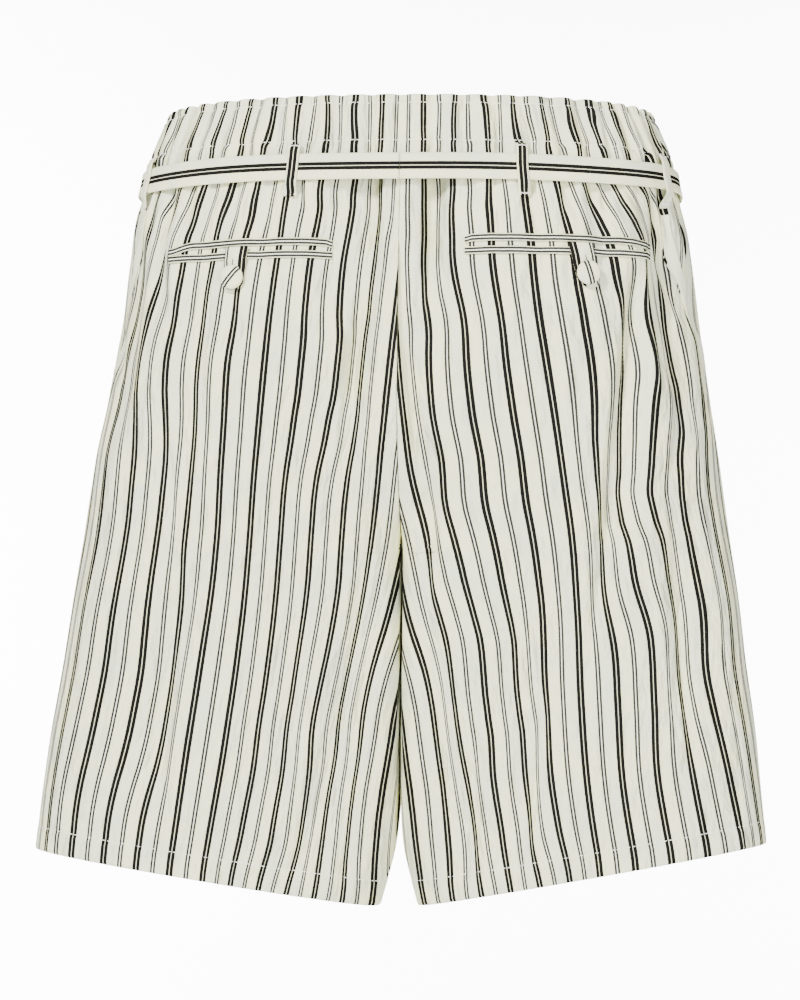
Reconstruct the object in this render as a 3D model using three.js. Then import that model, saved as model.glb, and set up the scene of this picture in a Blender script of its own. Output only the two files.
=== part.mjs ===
// Bermuda shorts in striped cloth, filled out as if worn, with an elastic waistband, a tied cloth
// belt in loops and two welt pockets behind. Millimetres, +Z up. The seat is towards -Y and the
// wearer's left is towards -X. The origin is the middle of the waist opening, half way down the
// elastic. Every piece is worked out from one surface, which is given by SECTIONS, FOLDS and the
// gathers, in two coordinates: t runs round one half of the garment, from 0 at the centre-back
// seam (or the inside leg) over 0.5 at the side to 1 at the centre front, and level is the height
// before the waist and the hems are tilted.
import * as THREE from "three";

// Driving dimensions, all in millimetres
const CLOTH = 1.5; // wall of one layer
const HEM = { height: 17, wall: 2.4 };
const BAND = { top: 20, bottom: -20, wall: 3 };
const BELT = { level: -26.5, width: 16, wall: 2, clear: 0.8 };
const LOOP = { width: 7, top: -12, bottom: -44, wall: 1.2, seat: 0.4, rise: 4 };
const WELT = { height: 4.4, slot: 3.2, wall: 1.2, clear: 0.65 };
const TAB = { drop: 5, length: 27, width: 15, wall: 1.1 };
const BUTTON = { diameter: 15.5, height: 4.2, drop: 18 };
const SIDE_POCKET = { top: -48, bottom: -146, share: 0.024, wall: 1.1, clear: 1 };
const KNOT = { width: 26, height: 20, depth: 12, clear: 1.6 };
const BELT_END = { length: 96, width: 15, wall: 1.8, start: 8, spread: 26, clear: 0.95 };

// What differs from side to side: distances from the centre seam and the height of the pockets
const SIDES = [
  { word: "left", side: -1, loop: 68, pocketTop: -69, inner: 43, outer: 149, tab: 103, button: 106 },
  { word: "right", side: 1, loop: 77, pocketTop: -67, inner: 42, outer: 161, tab: 114, button: 119 },
];
const FRONT_LOOP = 70;

const AIR = 0.35; // between one piece and the piece it lies on
const GAP = 0.17; // half of the gap in a seam
const SEAM = 0.0008; // the same in the side seam, as a share of t
const SEAT = { top: -90, crotch: -264 }; // the torso turns into two legs between these levels
const CROTCH_TOP = -150; // where the centre seams start to curve in
const HEM_LEVEL = -494;
const WAIST_TILT = { slope: 0.12, fades: -200 }; // the back of the waist is the higher
const LEG_DEPTH = 0.82; // of a leg, as a share of the section's depth
const SIDE_DROP = 0.0016; // fall of the left hem and rise of the right one, for each mm of lean

// One row for each section, from the waist to the hem. width is the half width at the side, back
// and front are the depths behind and before it, round is how square the inside of a leg is,
// seam is the t of the side seam, inner is where the inside leg is, slant is the rise of the
// section for each millimetre outwards, and lean shifts the whole section.
const SECTION_COLUMNS = ["level", "width", "back", "front", "round", "seam", "inner", "slant", "lean"];
const SECTIONS = [
  [20, 157.5, 76, 84, 4, 0.43, 0.17, 0, 0.5],
  [-10, 170, 81, 88, 4, 0.4, 0.17, 0, 0.5],
  [-27, 173, 84, 90, 4, 0.38, 0.17, 0, 0],
  [-60, 181.5, 88, 94, 4, 0.37, 0.17, 0, -0.5],
  [-110, 188.5, 92, 98, 4, 0.435, 0.17, 0, -1],
  [-160, 196, 90, 98, 4, 0.5, 0.17, 0.005, -2],
  [-210, 203, 84, 94, 4, 0.5, 0.17, 0.03, -2.5],
  [-264, 210, 77, 88, 4, 0.5, 0.17, 0.058, -3],
  [-310, 216.5, 71, 83, 4, 0.5, 0.17, 0.083, -3.5],
  [-360, 222.5, 66, 79, 3.7, 0.5, 0.17, 0.11, -4.5],
  [-410, 229.5, 62, 75, 3.3, 0.5, 0.4, 0.134, -5.5],
  [-452, 234, 59, 73, 2.9, 0.5, 2.6, 0.152, -6.5],
  [-494, 238, 57, 71, 2.6, 0.5, 12.5, 0.171, -7],
].map((row) => Object.fromEntries(SECTION_COLUMNS.map((name, i) => [name, row[i]])));
const STEP = 0.0004; // of t, between the points that a normal is taken from
const ROUND = 2.3; // of the torso and of the outside of a leg: 2 is an ellipse, more is squarer
const PANEL_ROWS = { above: 13, below: 11 }; // above and below the crotch
const CROWDING = 1.4; // of the columns of a panel, towards the inside leg

// The largest folds. Each is a trough along a line, from (from, top) to (to, bottom), where from
// and to are distances from the centre seam in the view from behind or from in front.
const FOLDS = [
  { side: -1, face: "back", from: 14, top: -30, to: 14, bottom: -92, width: 10, depth: 5 },
  { side: -1, face: "back", from: 16, top: -84, to: 30, bottom: -215, width: 11, depth: 6 },
  { side: -1, face: "back", from: 7, top: -285, to: 50, bottom: -480, width: 14, depth: 7 },
  { side: -1, face: "back", from: 62, top: -300, to: 84, bottom: -455, width: 13, depth: 4 },
  { side: -1, face: "back", from: 136, top: -285, to: 160, bottom: -420, width: 13, depth: 5 },
  { side: -1, face: "back", from: 172, top: -60, to: 184, bottom: -170, width: 11, depth: 4 },
  { side: 1, face: "back", from: 14, top: -28, to: 17, bottom: -105, width: 10, depth: 5 },
  { side: 1, face: "back", from: 5, top: -118, to: 20, bottom: -280, width: 11, depth: 6 },
  { side: 1, face: "back", from: 10, top: -300, to: 50, bottom: -480, width: 14, depth: 7 },
  { side: 1, face: "back", from: 70, top: -312, to: 82, bottom: -462, width: 11, depth: 4 },
  { side: 1, face: "back", from: 150, top: -90, to: 145, bottom: -185, width: 11, depth: 6 },
  { side: 1, face: "back", from: 143, top: -170, to: 126, bottom: -335, width: 13, depth: 6 },
  { side: 1, face: "back", from: 178, top: -235, to: 182, bottom: -405, width: 11, depth: 6 },
  { side: 1, face: "back", from: 162, top: -42, to: 182, bottom: -180, width: 11, depth: 8 },
  { side: -1, face: "front", from: 30, top: -60, to: 44, bottom: -200, width: 14, depth: 5 },
  { side: -1, face: "front", from: 10, top: -290, to: 62, bottom: -470, width: 15, depth: 7 },
  { side: -1, face: "front", from: 120, top: -200, to: 136, bottom: -400, width: 15, depth: 6 },
  { side: 1, face: "front", from: 40, top: -70, to: 52, bottom: -190, width: 14, depth: 4 },
  { side: 1, face: "front", from: 12, top: -285, to: 56, bottom: -480, width: 15, depth: 7 },
  { side: 1, face: "front", from: 128, top: -180, to: 120, bottom: -390, width: 15, depth: 5 },
];

// Gathers under the elastic. Each is count waves round one half, so deep, fading in so many mm.
const BAND_GATHERS = { count: 26, depth: 2.2, fade: 400 };
const PANEL_GATHERS = { count: 13, depth: 3.4, fade: 80 };

const mix = (a, b, share) => a + (b - a) * share;
const clamp = (x, low, high) => Math.min(high, Math.max(low, x));

function ease(from, to, x) {
  const share = clamp((x - from) / (to - from), 0, 1);
  return share * share * (3 - 2 * share);
}

// A section's values at any level, on a smooth curve through the rows of the table. Its leg goes
// from 0 for one round torso to 1 for two legs, and closing from 0 to 1 as the inside leg closes.
function sectionAt(level) {
  const last = SECTIONS.length - 1;
  let i = 0;
  while (i < last - 1 && level < SECTIONS[i + 1].level) i += 1;
  const [a, b] = [SECTIONS[i], SECTIONS[i + 1]];
  const [before, after] = [SECTIONS[Math.max(i - 1, 0)], SECTIONS[Math.min(i + 2, last)]];
  const step = b.level - a.level;
  const s = (level - a.level) / step;
  const found = {};
  for (const key of SECTION_COLUMNS) {
    const startSlope = ((b[key] - before[key]) / (b.level - before.level)) * step;
    const endSlope = ((after[key] - a[key]) / (after.level - a.level)) * step;
    const flat = a[key] === b[key];
    found[key] = flat
      ? a[key]
      : (2 * s ** 3 - 3 * s ** 2 + 1) * a[key] +
        (s ** 3 - 2 * s ** 2 + s) * startSlope +
        (3 * s ** 2 - 2 * s ** 3) * b[key] +
        (s ** 3 - s ** 2) * endSlope;
  }
  found.leg = ease(SEAT.top, SEAT.crotch, level);
  const down = clamp((CROTCH_TOP - level) / (CROTCH_TOP - SEAT.crotch), 0, 1);
  found.closing = 1 - (1 - down) ** 2;
  return found;
}

// How far out and how deep a section is at t, as shares of its half width and depth. Half of it
// is one side of an oval, and as the legs part its inner end closes too.
function sectionShare(t, s) {
  const angle = Math.PI * t;
  const [across, along] = [Math.abs(Math.sin(angle)), Math.abs(Math.cos(angle))];
  const scale = (across ** ROUND + along ** ROUND) ** (-1 / ROUND);
  const out = Math.min(across * scale, 1);
  const [end, power] = out < 0.5 ? [(1 - 2 * out) * s.closing, s.round] : [2 * out - 1, ROUND];
  const legDeep = LEG_DEPTH * (1 - end ** power) ** (1 / power);
  return [out, mix(along * scale, legDeep, s.leg)];
}

// The smooth form that the cloth hangs on
function formPoint(side, t, level) {
  const s = sectionAt(level);
  const [out, deep] = sectionShare(t, s);
  const behind = clamp((0.5 - t) / SEAM, -1, 1);
  const x = mix(s.inner, s.width, out);
  const y = -Math.sign(behind) * (t < 0.5 ? s.back : s.front) * deep - GAP * behind;
  const tilt = WAIST_TILT.slope * ease(WAIST_TILT.fades, BAND.top, level);
  const rise = s.slant * x - tilt * y - SIDE_DROP * s.lean * side * x;
  return new THREE.Vector3(side * x + s.lean, y, level + rise);
}

function outwardNormal(side, t, level) {
  const [before, after] = [Math.max(t - STEP, 0), Math.min(t + STEP, 1)];
  const round = formPoint(side, after, level).sub(formPoint(side, before, level));
  const up = formPoint(side, t, level + 1).sub(formPoint(side, t, level - 1));
  return round.cross(up).multiplyScalar(side).normalize();
}

// The t at which the form is so far from the centre, in the view from behind or from in front.
function placeAt(face, distance, level) {
  const [start, end] = face === "back" ? [0, 0.5] : [1, 0.5];
  let [low, high] = [0, 1];
  const lean = sectionAt(level).lean;
  for (let i = 0; i < 24; i += 1) {
    const middle = (low + high) / 2;
    const x = formPoint(1, mix(start, end, middle), level).x - lean;
    if (x < distance) low = middle;
    else high = middle;
  }
  return mix(start, end, (low + high) / 2);
}

// How deep the folds are at a place that is out millimetres from the centre seam
function foldDepth(side, face, out, level) {
  let sum = 0;
  for (const fold of FOLDS) {
    const share = (fold.top - level) / (fold.top - fold.bottom);
    if (fold.side !== side || fold.face !== face || share < -0.15 || share > 1.15) continue;
    const across = out - mix(fold.from, fold.to, share);
    const along = ease(-0.15, 0.3, share) * ease(1.15, 0.7, share);
    sum += fold.depth * along * Math.exp(-((across / fold.width) ** 2));
  }
  return sum;
}

// How deep the valleys between the gathers are. The crests stay on the form.
function gatherDepth(gathers, side, t, below) {
  const uneven = 0.35 * Math.sin(2 * Math.PI * t * 3 + side) + 0.2 * Math.sin(2 * Math.PI * t * 7);
  const wave = 0.5 + 0.5 * Math.cos(2 * Math.PI * gathers.count * t + uneven * Math.sin(Math.PI * t));
  return gathers.depth * wave * Math.exp(-Math.max(below, 0) / gathers.fade);
}

// A point of the cloth, off millimetres outside its outer face. Folds and gathers are troughs.
function clothPoint(side, t, level, off = 0) {
  const s = sectionAt(level);
  const point = formPoint(side, t, level);
  const out = Math.abs(point.x - s.lean);
  const calm = mix(1, ease(0, 0.03, t) * ease(1, 0.97, t), s.closing);
  const sunk =
    level > BAND.bottom
      ? gatherDepth(BAND_GATHERS, side, t, 0)
      : foldDepth(side, t < 0.5 ? "back" : "front", out, level) +
        gatherDepth(PANEL_GATHERS, side, t, BAND.bottom - level);
  return point.addScaledVector(outwardNormal(side, t, level), off - sunk * calm);
}

// A point so far outside the crests of the gathers
const crestPoint = (side, t, level, off) =>
  formPoint(side, t, level).addScaledVector(outwardNormal(side, t, level), off);

// A closed wall between an outer and an inner grid of points, given as functions of two numbers.
function wall(outer, inner, columns, rows) {
  const points = [];
  const faces = [];
  for (const surface of [outer, inner])
    for (const row of rows) for (const column of columns) points.push(surface(column, row));
  const [nu, nv] = [columns.length, rows.length];
  const at = (layer, i, j) => layer * nu * nv + j * nu + i;
  const quad = (a, b, c, d) => faces.push(a, b, c, a, c, d);
  for (let j = 0; j + 1 < nv; j += 1)
    for (let i = 0; i + 1 < nu; i += 1) {
      quad(at(0, i, j), at(0, i, j + 1), at(0, i + 1, j + 1), at(0, i + 1, j));
      quad(at(1, i, j), at(1, i + 1, j), at(1, i + 1, j + 1), at(1, i, j + 1));
    }
  for (let j = 0; j + 1 < nv; j += 1) {
    quad(at(0, 0, j), at(1, 0, j), at(1, 0, j + 1), at(0, 0, j + 1));
    quad(at(0, nu - 1, j), at(0, nu - 1, j + 1), at(1, nu - 1, j + 1), at(1, nu - 1, j));
  }
  for (let i = 0; i + 1 < nu; i += 1) {
    quad(at(0, i, 0), at(0, i + 1, 0), at(1, i + 1, 0), at(1, i, 0));
    quad(at(0, i, nv - 1), at(1, i, nv - 1), at(1, i + 1, nv - 1), at(0, i + 1, nv - 1));
  }
  return facingOut(points, faces);
}

function facingOut(points, faces) {
  let volume = 0;
  for (let i = 0; i < faces.length; i += 3) {
    const [a, b, c] = [points[faces[i]], points[faces[i + 1]], points[faces[i + 2]]];
    volume += a.dot(b.clone().cross(c));
  }
  if (volume < 0)
    for (let i = 0; i < faces.length; i += 3)
      [faces[i + 1], faces[i + 2]] = [faces[i + 2], faces[i + 1]];
  const geometry = new THREE.BufferGeometry().setFromPoints(points);
  geometry.setIndex(faces);
  geometry.computeVertexNormals();
  return geometry;
}

const evenly = (from, to, steps) =>
  Array.from({ length: steps + 1 }, (_, i) => mix(from, to, i / steps));

const COLOURS = {
  ground: new THREE.MeshStandardMaterial({ color: 0xe3e4da, roughness: 0.85, metalness: 0 }),
  trim: new THREE.MeshStandardMaterial({ color: 0xe6e6de, roughness: 0.82, metalness: 0 }),
  button: new THREE.MeshStandardMaterial({ color: 0xe8e8e0, roughness: 0.75, metalness: 0 }),
};
const shorts = new THREE.Group();

function add(name, geometry, material) {
  const mesh = new THREE.Mesh(geometry, material);
  mesh.name = name;
  shorts.add(mesh);
  return mesh;
}

// t on the back or front piece, with u from 0 at the centre seam to 1 at the side seam
const backPlace = (u, level) => mix(0, sectionAt(level).seam - SEAM, u);
const frontPlace = (u, level) => mix(1, sectionAt(level).seam + SEAM, u);

// A strip that lies on the cloth: place(u, v) gives t and level, from and to are offsets.
function patch(side, place, from, to, columns, rows) {
  const surface = (off) => (u, v) => {
    const [t, level] = place(u, v);
    return clothPoint(side, t, level, typeof off === "number" ? off : off(u, v));
  };
  return wall(surface(to), surface(from), columns, rows);
}

// The four panels, with columns crowded at the inside leg and a thicker turned-up hem
function addPanel(name, side, face, columns) {
  const hemTop = HEM_LEVEL + HEM.height;
  const rows = [
    ...evenly(BAND.bottom - AIR, SEAT.crotch, PANEL_ROWS.above),
    ...evenly(SEAT.crotch, hemTop, PANEL_ROWS.below).slice(1),
    hemTop - 1,
    HEM_LEVEL,
  ];
  const thickness = (level) => (level < hemTop - 0.5 ? HEM.wall : CLOTH);
  const around = (u, level) => (face === "back" ? backPlace(u, level) : frontPlace(u, level));
  const outer = (u, level) => clothPoint(side, around(u, level), level);
  const inner = (u, level) => clothPoint(side, around(u, level), level, -thickness(level));
  const crowded = evenly(0, 1, columns).map((u) => u ** CROWDING);
  add(name, wall(outer, inner, crowded, rows), COLOURS.ground);
}

// The elastic casing, one piece behind and one in front, with a dimple at each side seam
function addWaistband(name, middle, columns) {
  const point = (off) => (u, level) => {
    const side = u < 0 ? -1 : 1;
    const seam = sectionAt(level).seam;
    const share = Math.abs(u);
    const t = middle === "back" ? share * (seam - SEAM) : 1 - share * (1 - seam - SEAM);
    return clothPoint(side, t, level, off);
  };
  const rows = [BAND.top, 0, BAND.bottom];
  add(name, wall(point(0), point(-BAND.wall), evenly(-1, 1, columns), rows), COLOURS.ground);
}

// The belt lies on the crests of the gathers, in two lengths that are joined at the centre back
function addBelt(name, side) {
  const [inside, outside] = [BELT.clear, BELT.clear + BELT.wall];
  const point = (off) => (t, v) => crestPoint(side, t, BELT.level + v * BELT.width, off);
  const columns = evenly(0, 1, 44);
  add(name, wall(point(outside), point(inside), columns, [0.5, -0.5]), COLOURS.trim);
}

// A loop stands on the crests above and below the belt. middle is its t.
function addLoop(name, side, middle) {
  const overBelt = BELT.clear + BELT.wall + 2 * AIR;
  const [before, after] = [middle - 0.005, middle + 0.005];
  const stretch = formPoint(side, after, LOOP.top).distanceTo(formPoint(side, before, LOOP.top));
  const width = (LOOP.width * (after - before)) / stretch;
  const edge = BELT.width / 2 + 1;
  const point = (off) => (u, level) => {
    const near = 1 - ease(edge, edge + LOOP.rise, Math.abs(level - BELT.level));
    return crestPoint(side, middle + u * width, level, mix(LOOP.seat, overBelt, near) + off);
  };
  const rows = [
    LOOP.top,
    BELT.level + edge + LOOP.rise,
    BELT.level + edge + LOOP.rise / 2,
    BELT.level + edge,
    BELT.level,
    BELT.level - edge,
    BELT.level - edge - LOOP.rise / 2,
    BELT.level - edge - LOOP.rise,
    LOOP.bottom,
  ];
  add(name, wall(point(LOOP.wall), point(0), [-0.5, 0, 0.5], rows), COLOURS.trim);
}

function addBackPocket({ word, side, pocketTop, inner, outer, tab, button }) {
  const columns = evenly(inner, outer, 16);
  const behind = (x, level) => [placeAt("back", x, level), level];
  const addWelt = (name, top) => {
    const rows = [top, top - WELT.height / 2, top - WELT.height];
    add(name, patch(side, behind, WELT.clear, WELT.clear + WELT.wall, columns, rows), COLOURS.trim);
  };
  addWelt("pocket_" + word + "_welt_upper", pocketTop);
  const lowerTop = pocketTop - WELT.height - WELT.slot;
  const lowerEnd = lowerTop - WELT.height;
  addWelt("pocket_" + word + "_welt_lower", lowerTop);

  // The tab comes out of the slot, passes over the lower welt and ends in a half round
  const overWelt = WELT.clear + WELT.wall + AIR;
  const top = pocketTop - TAB.drop;
  const bottom = top - TAB.length;
  const middle = (level) => mix(tab, button, (top - level) / BUTTON.drop);
  const round = TAB.width / 2;
  const halfWidth = (level) => round * Math.sqrt(1 - clamp((bottom + round - level) / round, 0, 0.98) ** 2);
  const place = (u, level) => behind(middle(level) + u * halfWidth(level), level);
  const under = (u, level) => mix(WELT.clear, overWelt, ease(lowerEnd - 6, lowerEnd, level));
  const over = (u, level) => under(u, level) + TAB.wall;
  const rows = [...evenly(top, lowerEnd, 3), ...evenly(lowerEnd, bottom, 7).slice(1)];
  const strip = patch(side, place, under, over, [-1, -0.5, 0, 0.5, 1], rows);
  add("pocket_" + word + "_tab", strip, COLOURS.trim);
  const level = top - BUTTON.drop;
  addButton("pocket_" + word + "_button", side, placeAt("back", button, level), level);
}

// A cloth-covered button: a low dome on a flat back, lying on the tab
function addButton(name, side, t, level) {
  const radius = BUTTON.diameter / 2;
  const steps = 4;
  const dome = Array.from({ length: steps }, (_, i) => {
    const angle = (i / steps) * (Math.PI / 2);
    return new THREE.Vector2(radius * Math.cos(angle), 1 + (BUTTON.height - 1) * Math.sin(angle));
  });
  const [middle, rim] = [new THREE.Vector2(0, 0), new THREE.Vector2(radius * 0.88, 0)];
  const profile = [middle, rim, ...dome, new THREE.Vector2(0, BUTTON.height)];
  const mesh = add(name, new THREE.LatheGeometry(profile, 18), COLOURS.button);
  const off = WELT.clear + TAB.wall + 0.85;
  mesh.quaternion.setFromUnitVectors(new THREE.Vector3(0, 1, 0), outwardNormal(side, t, level));
  mesh.position.copy(clothPoint(side, t, level, off));
}

// The folded mouth of the pocket in the side seam, on the front panel's edge
function addSidePocket(name, side) {
  const place = (u, level) => {
    const edge = sectionAt(level).seam + 3 * SEAM;
    return [edge + u * SIDE_POCKET.share, level];
  };
  const rows = evenly(SIDE_POCKET.top, SIDE_POCKET.bottom, 10);
  const [from, to] = [SIDE_POCKET.clear, SIDE_POCKET.clear + SIDE_POCKET.wall];
  add(name, patch(side, place, from, to, [0, 0.5, 1], rows), COLOURS.ground);
}

// The knot in front and the two hanging ends of the belt
function addKnot() {
  const centre = formPoint(1, 1, BELT.level).setX(0);
  const back = centre.y + BELT.clear + BELT.wall + KNOT.clear;
  const knot = new THREE.SphereGeometry(1, 16, 10);
  knot.scale(KNOT.width / 2, KNOT.depth / 2, KNOT.height / 2);
  const place = knot.attributes.position;
  for (let i = 0; i < place.count; i += 1)
    place.setXYZ(
      i,
      place.getX(i) * (1 + 0.12 * Math.cos((place.getZ(i) / KNOT.height) * Math.PI)),
      Math.max(place.getY(i), -KNOT.depth * 0.3) + KNOT.depth * 0.3,
      place.getZ(i),
    );
  const mesh = add("belt_knot", knot, COLOURS.trim);
  mesh.position.set(0, back, centre.z);
}

function addBeltEnd(name, side) {
  const top = BELT.level - KNOT.height / 2 - AIR;
  const centre = (level) => BELT_END.start + (BELT_END.spread * (top - level)) / BELT_END.length;
  const place = (u, level) => {
    const x = Math.max(centre(level) + (u * BELT_END.width) / 2, AIR);
    return [placeAt("front", x, level), level];
  };
  const under = (u, level) => mix(BELT_END.clear, BELT.clear + BELT.wall, ease(top - 14, top, level));
  const over = (u, level) => under(u, level) + BELT_END.wall;
  const rows = evenly(top, top - BELT_END.length, 16);
  add(name, patch(side, place, under, over, [-1, -0.33, 0.33, 1], rows), COLOURS.trim);
}

for (const row of SIDES) {
  const { word, side } = row;
  addPanel("back_" + word, side, "back", 30);
  addPanel("front_" + word, side, "front", 20);
  addBelt("belt_" + word, side);
  addBackPocket(row);
  addSidePocket("side_pocket_" + word, side);
  addBeltEnd("belt_end_" + word, side);
  addLoop("belt_loop_back_" + word, side, placeAt("back", row.loop, BELT.level));
  addLoop("belt_loop_side_" + word, side, sectionAt(BELT.level).seam);
  addLoop("belt_loop_front_" + word, side, placeAt("front", FRONT_LOOP, BELT.level));
}
addWaistband("waistband_back", "back", 104);
addWaistband("waistband_front", "front", 96);
addKnot();

export default shorts;
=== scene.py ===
import math

import bpy
import numpy as np
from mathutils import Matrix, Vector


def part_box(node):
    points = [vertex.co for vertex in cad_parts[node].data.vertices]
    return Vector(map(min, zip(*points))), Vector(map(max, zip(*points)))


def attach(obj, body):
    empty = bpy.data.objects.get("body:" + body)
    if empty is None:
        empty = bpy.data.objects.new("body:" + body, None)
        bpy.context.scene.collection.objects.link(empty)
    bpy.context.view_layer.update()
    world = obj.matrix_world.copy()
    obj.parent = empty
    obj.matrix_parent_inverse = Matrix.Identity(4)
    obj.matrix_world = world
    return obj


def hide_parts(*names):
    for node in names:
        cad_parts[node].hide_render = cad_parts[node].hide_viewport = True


# Looks of the striped bermuda shorts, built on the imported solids. Lengths are in millimetres and
# turn into metres when a mesh is made. side is -1 for the wearer's left and 1 for the right, t
# runs round one half from the centre back over the side seam to the centre front, and level is
# the height before the waist and the hems are tilted.

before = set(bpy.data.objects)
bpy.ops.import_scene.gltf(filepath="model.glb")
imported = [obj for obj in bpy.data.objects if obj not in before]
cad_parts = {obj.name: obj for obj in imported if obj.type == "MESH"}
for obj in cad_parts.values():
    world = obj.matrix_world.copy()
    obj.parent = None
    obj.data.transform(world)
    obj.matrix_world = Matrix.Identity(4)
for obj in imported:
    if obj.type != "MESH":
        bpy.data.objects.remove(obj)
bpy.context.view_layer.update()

MM = 0.001

# The sizes of the solids, as in the part's source
CLOTH = 1.5
HEM = {"height": 17, "wall": 2.4}
BAND = {"top": 20, "bottom": -20, "wall": 3}
BELT = {"level": -26.5, "width": 16, "wall": 2, "clear": 0.8}
LOOP = {"width": 7, "top": -12, "bottom": -44, "wall": 1.2, "seat": 0.4, "rise": 4}
WELT = {"height": 4.4, "slot": 3.2, "wall": 1.2, "clear": 0.65}
TAB = {"drop": 5, "length": 27, "width": 15, "wall": 1.1}
BUTTON = {"diameter": 15.5, "height": 4.2, "drop": 18}
SIDE_POCKET = {"top": -48, "bottom": -146, "share": 0.024, "wall": 1.1, "clear": 1}
KNOT = {"width": 26, "height": 20, "depth": 12, "clear": 1.6}
BELT_END = {"length": 96, "width": 15, "wall": 1.8, "start": 8, "spread": 26, "clear": 0.95}
SIDES = [
    {"word": "left", "side": -1, "loop": 68, "pocketTop": -69, "inner": 43, "outer": 149,
     "tab": 103, "button": 106, "droop": 3.2},
    {"word": "right", "side": 1, "loop": 77, "pocketTop": -67, "inner": 42, "outer": 161,
     "tab": 114, "button": 119, "droop": 1.4},
]
FRONT_LOOP = 70
AIR = 0.35
GAP = 0.17
SEAM = 0.0008
SEAT = {"top": -90, "crotch": -264}
CROTCH_TOP = -150
HEM_LEVEL = -494
WAIST_TILT = {"slope": 0.12, "fades": -200}
LEG_DEPTH = 0.82
SIDE_DROP = 0.0016
STEP = 0.0004
ROUND = 2.3

SECTION_COLUMNS = ("level", "width", "back", "front", "round", "seam", "inner", "slant", "lean")
SECTIONS = np.array([
    (20, 157.5, 76, 84, 4, 0.43, 0.17, 0, 0.5),
    (-10, 170, 81, 88, 4, 0.4, 0.17, 0, 0.5),
    (-27, 173, 84, 90, 4, 0.38, 0.17, 0, 0),
    (-60, 181.5, 88, 94, 4, 0.37, 0.17, 0, -0.5),
    (-110, 188.5, 92, 98, 4, 0.435, 0.17, 0, -1),
    (-160, 196, 90, 98, 4, 0.5, 0.17, 0.005, -2),
    (-210, 203, 84, 94, 4, 0.5, 0.17, 0.03, -2.5),
    (-264, 210, 77, 88, 5, 0.5, 0.17, 0.058, -3),
    (-310, 216.5, 71, 83, 5, 0.5, 0.17, 0.083, -3.5),
    (-360, 222.5, 66, 79, 4.6, 0.5, 0.17, 0.11, -4.5),
    (-410, 229.5, 62, 75, 3.8, 0.5, 0.4, 0.134, -5.5),
    (-452, 234, 59, 73, 2.9, 0.5, 2.6, 0.152, -6.5),
    (-494, 238, 57, 71, 2.6, 0.5, 12.5, 0.171, -7),
])
LEVELS = SECTIONS[:, 0]

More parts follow.
